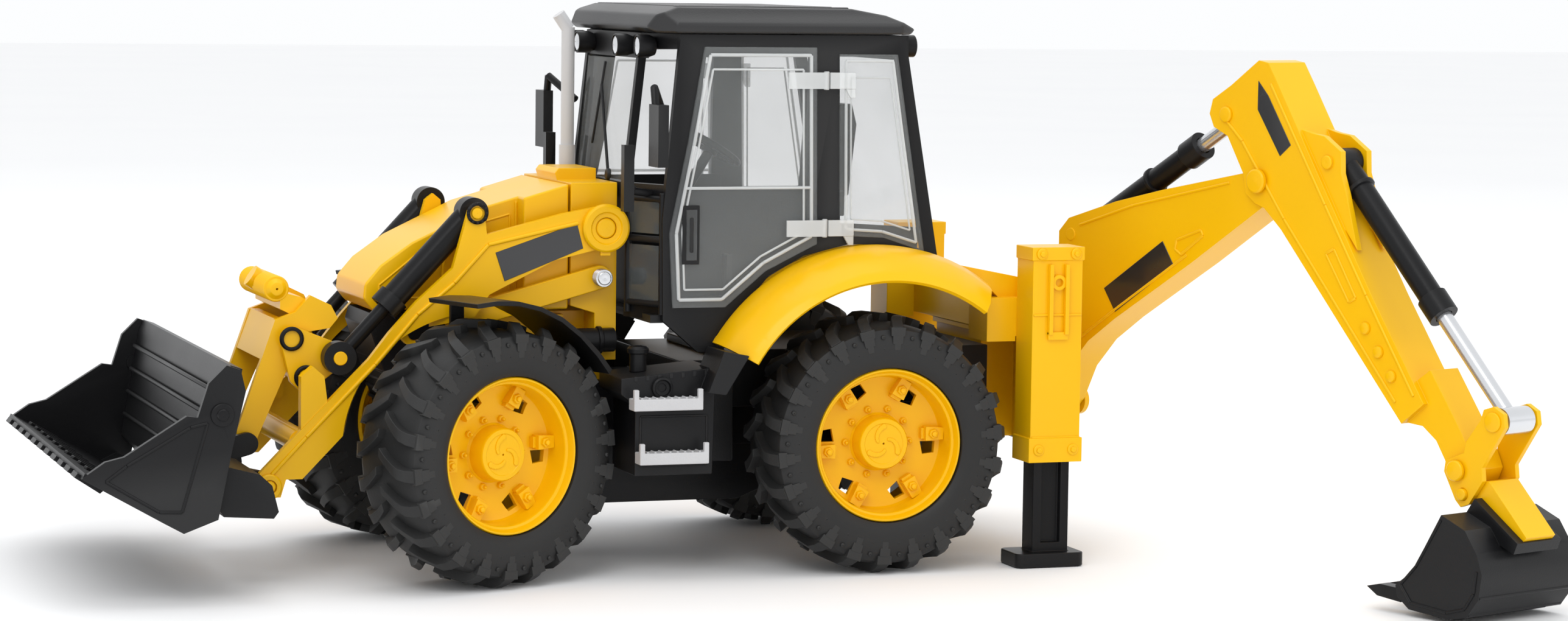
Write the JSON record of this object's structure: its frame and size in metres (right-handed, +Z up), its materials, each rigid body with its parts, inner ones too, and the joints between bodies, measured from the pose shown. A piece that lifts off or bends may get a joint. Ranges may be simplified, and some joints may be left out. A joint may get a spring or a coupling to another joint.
{
  "type": "toy backhoe loader",
  "caption": "Toy wheeled loader with a clam front bucket, glazed cab, stabiliser legs and a slewing rear digging arm.",
  "frame": {"origin": "floor level under the middle of the whole toy as it stands, digging arm slewed to its left", "axes": "+X towards the loader bucket, +Y to the toy's left, where the digging arm stands, +Z up"},
  "size_m": [0.5166, 0.3466, 0.2138],
  "materials": {
    "yellow": "moulded yellow plastic, satin gloss",
    "black": "moulded black plastic, satin",
    "tyre": "soft black rubber, matt",
    "grey": "silver-grey plastic with a fine speckle",
    "silver": "bright silver coated plastic",
    "clear": "clear plastic glazing"
  },
  "bodies": {
    "machine": {"chassis_frame": "black", "rear_axle": "black", "front_axle": "black", "loader_tower": "yellow", "radiator_grille": "black", "exhaust_stack": "grey", "cab_side_left": "black", "cab_side_right": "black", "cab_cross_frame": "black", "cab_roof": "black", "windscreen": "clear", "quarter_windows": "clear", "driver_seat": "black", "steering_console": "black", "work_lights": "silver", "mirrors": "black", "step_boxes": "black", "step_treads": "grey", "rear_fenders": "yellow", "rear_frame": "yellow", "stabiliser_casings": "yellow"},
    "wheel_rear_left": {"tyre_rear_left": "tyre", "rim_rear_left": "yellow"},
    "wheel_rear_right": {"tyre_rear_right": "tyre", "rim_rear_right": "yellow"},
    "wheel_front_left": {"tyre_front_left": "tyre", "rim_front_left": "yellow"},
    "wheel_front_right": {"tyre_front_right": "tyre", "rim_front_right": "yellow"},
    "knuckle_left": {"steering_knuckle_left": "black", "front_fender_left": "black"},
    "knuckle_right": {"steering_knuckle_right": "black", "front_fender_right": "black"},
    "tie_rod": {"tie_rod": "black"},
    "bonnet": {"bonnet": "yellow"},
    "rear_window": {"rear_window": "clear"},
    "door_left": {"door_left": "clear"},
    "door_right": {"door_right": "clear"},
    "steering_wheel": {"steering_wheel": "black"},
    "leg_left": {"stabiliser_leg_left": "black"},
    "leg_right": {"stabiliser_leg_right": "black"},
    "arms": {"loader_arms": "yellow"},
    "stays": {"lift_stays": "yellow"},
    "cranks": {"bell_cranks": "yellow"},
    "link": {"tilt_link": "yellow"},
    "ram_barrels": {"tilt_ram_barrels": "black"},
    "ram_rods": {"tilt_ram_rods": "black"},
    "bucket": {"bucket_back": "black"},
    "clam": {"bucket_clam": "black"},
    "carriage": {"kingpost_carriage": "black"},
    "kingpost": {"kingpost": "yellow"},
    "boom": {"boom": "yellow"},
    "dipper_ram_barrel": {"dipper_ram_barrel": "black"},
    "dipper_ram_rod": {"dipper_ram_rod": "silver"},
    "dipper": {"dipper": "yellow"},
    "bucket_ram_barrel": {"bucket_ram_barrel": "black"},
    "bucket_ram_rod": {"bucket_ram_rod": "silver"},
    "digger": {"bucket_lever": "yellow", "hitch_coupler": "yellow", "digging_bucket": "black"}
  },
  "joints": [
    {"name": "spin_rear_left", "type": "hinge", "parent": "machine", "child": "wheel_rear_left", "pos_m": [-0.05014, -0.01199, 0.049], "axis": [0, 1, 0], "continuous": true},
    {"name": "spin_rear_right", "type": "hinge", "parent": "machine", "child": "wheel_rear_right", "pos_m": [-0.05014, -0.14099, 0.049], "axis": [0, 1, 0], "continuous": true},
    {"name": "spin_front_left", "type": "hinge", "parent": "knuckle_left", "child": "wheel_front_left", "pos_m": [0.10276, -0.01241, 0.049], "axis": [-0.3535, 0.9354, 0], "continuous": true},
    {"name": "spin_front_right", "type": "hinge", "parent": "knuckle_right", "child": "wheel_front_right", "pos_m": [0.10736, -0.14057, 0.049], "axis": [-0.3535, 0.9354, 0], "continuous": true},
    {"name": "steer_left", "type": "hinge", "parent": "machine", "child": "knuckle_left", "pos_m": [0.10506, -0.01849, 0.049], "axis": [0, 0, 1], "range_deg": [-41.4, 0]},
    {"name": "steer_right", "type": "hinge", "parent": "machine", "child": "knuckle_right", "pos_m": [0.10506, -0.13449, 0.049], "axis": [0, 0, 1], "range_deg": [-41.4, 0]},
    {"name": "tie_rod_swing", "type": "hinge", "parent": "knuckle_left", "child": "tie_rod", "pos_m": [0.08729, -0.02521, 0.051], "axis": [0, 0, 1], "range_deg": [0, 41.4]},
    {"name": "loader_lift", "type": "hinge", "parent": "machine", "child": "arms", "pos_m": [0.05136, -0.07649, 0.13], "axis": [0, -1, 0], "range_deg": [0, 40]},
    {"name": "stay_swing", "type": "hinge", "parent": "machine", "child": "stays", "pos_m": [0.05186, -0.07649, 0.111], "axis": [0, -1, 0], "range_deg": [0, 40]},
    {"name": "bucket_tilt", "type": "hinge", "parent": "arms", "child": "bucket", "pos_m": [0.17986, -0.07649, 0.0355], "axis": [0, 1, 0], "range_deg": [-15, 55]},
    {"name": "crank_swing", "type": "hinge", "parent": "arms", "child": "cranks", "pos_m": [0.16336, -0.07649, 0.0745], "axis": [0, 1, 0], "range_deg": [-15, 55]},
    {"name": "link_swing", "type": "hinge", "parent": "cranks", "child": "link", "pos_m": [0.16886, -0.07649, 0.089], "axis": [0, 1, 0], "range_deg": [-55, 15]},
    {"name": "ram_barrel_swing", "type": "hinge", "parent": "arms", "child": "ram_barrels", "pos_m": [0.10136, -0.07649, 0.136], "axis": [0, 1, 0], "range_deg": [-9.08, 2.48]},
    {"name": "ram_rod_swing", "type": "hinge", "parent": "cranks", "child": "ram_rods", "pos_m": [0.15186, -0.07649, 0.082], "axis": [0, 1, 0], "range_deg": [-64.08, 17.48]},
    {"name": "clam_open", "type": "hinge", "parent": "bucket", "child": "clam", "pos_m": [0.20706, -0.07649, 0.0688], "axis": [0, -1, 0], "range_deg": [0, 55]},
    {"name": "carriage_shift", "type": "slide", "parent": "machine", "child": "carriage", "axis": [0, 1, 0], "range_m": [-0.015, 0.015]},
    {"name": "slew", "type": "hinge", "parent": "carriage", "child": "kingpost", "pos_m": [-0.14614, -0.07649, 0.07], "axis": [0, 0, 1], "range_deg": [-10, 150]},
    {"name": "boom_lift", "type": "hinge", "parent": "kingpost", "child": "boom", "pos_m": [-0.15024, -0.06521, 0.056], "axis": [0.9397, 0.342, 0], "range_deg": [-30, 20]},
    {"name": "dipper_swing", "type": "hinge", "parent": "boom", "child": "dipper", "pos_m": [-0.19026, 0.04473, 0.1512], "axis": [0.9397, 0.342, 0], "range_deg": [-35, 20]},
    {"name": "bucket_curl", "type": "hinge", "parent": "dipper", "child": "digger", "pos_m": [-0.22491, 0.13992, 0.0523], "axis": [0.9397, 0.342, 0], "range_deg": [-45, 25]},
    {"name": "dipper_ram_pivot", "type": "hinge", "parent": "boom", "child": "dipper_ram_barrel", "pos_m": [-0.15469, -0.053, 0.1246], "axis": [0.9397, 0.342, 0], "range_deg": [-0.65, 0.37]},
    {"name": "dipper_ram_stroke", "type": "slide", "parent": "dipper_ram_barrel", "child": "dipper_ram_rod", "axis": [-0.2945, 0.8092, 0.5083], "range_m": [-0.01028, 0.01799]},
    {"name": "bucket_ram_pivot", "type": "hinge", "parent": "dipper", "child": "bucket_ram_barrel", "pos_m": [-0.20168, 0.07612, 0.1598], "axis": [0.9397, 0.342, 0], "range_deg": [-0.82, 0.45]},
    {"name": "bucket_ram_stroke", "type": "slide", "parent": "bucket_ram_barrel", "child": "bucket_ram_rod", "axis": [-0.2352, 0.6461, -0.7261], "range_m": [-0.01043, 0.01877]},
    {"name": "leg_left_lift", "type": "slide", "parent": "machine", "child": "leg_left", "axis": [0, 0, 1], "range_m": [0, 0.03]},
    {"name": "leg_right_lift", "type": "slide", "parent": "machine", "child": "leg_right", "axis": [0, 0, 1], "range_m": [0, 0.03]},
    {"name": "door_left_open", "type": "hinge", "parent": "machine", "child": "door_left", "pos_m": [-0.02964, -0.01529, 0.15], "axis": [0, 0, 1], "range_deg": [0, 70]},
    {"name": "door_right_open", "type": "hinge", "parent": "machine", "child": "door_right", "pos_m": [-0.02964, -0.13769, 0.15], "axis": [0, 0, -1], "range_deg": [0, 70]},
    {"name": "rear_window_open", "type": "hinge", "parent": "machine", "child": "rear_window", "pos_m": [-0.06534, -0.07649, 0.1938], "axis": [0, 1, 0], "range_deg": [0, 50]},
    {"name": "bonnet_open", "type": "hinge", "parent": "machine", "child": "bonnet", "pos_m": [0.06306, -0.07649, 0.1465], "axis": [0, -1, 0], "range_deg": [0, 20]},
    {"name": "steering_wheel_turn", "type": "hinge", "parent": "machine", "child": "steering_wheel", "pos_m": [-0.0043, -0.07649, 0.15826], "axis": [-0.5241, 0, 0.8517], "continuous": true}
  ],
  "couplings": [
    {"joint": "steer_right", "follows": "steer_left", "ratio": 1},
    {"joint": "tie_rod_swing", "follows": "steer_left", "ratio": -1},
    {"joint": "stay_swing", "follows": "loader_lift", "ratio": 1},
    {"joint": "crank_swing", "follows": "bucket_tilt", "ratio": 1},
    {"joint": "link_swing", "follows": "bucket_tilt", "ratio": -1},
    {"joint": "ram_barrel_swing", "follows": "bucket_tilt", "ratio": -0.165},
    {"joint": "ram_rod_swing", "follows": "bucket_tilt", "ratio": -1.165},
    {"joint": "dipper_ram_pivot", "follows": "dipper_swing", "ratio": 0.0185},
    {"joint": "dipper_ram_stroke", "follows": "dipper_swing", "m_per_rad": -0.02943},
    {"joint": "bucket_ram_pivot", "follows": "bucket_curl", "ratio": 0.0181},
    {"joint": "bucket_ram_stroke", "follows": "bucket_curl", "m_per_rad": -0.02389}
  ]
}
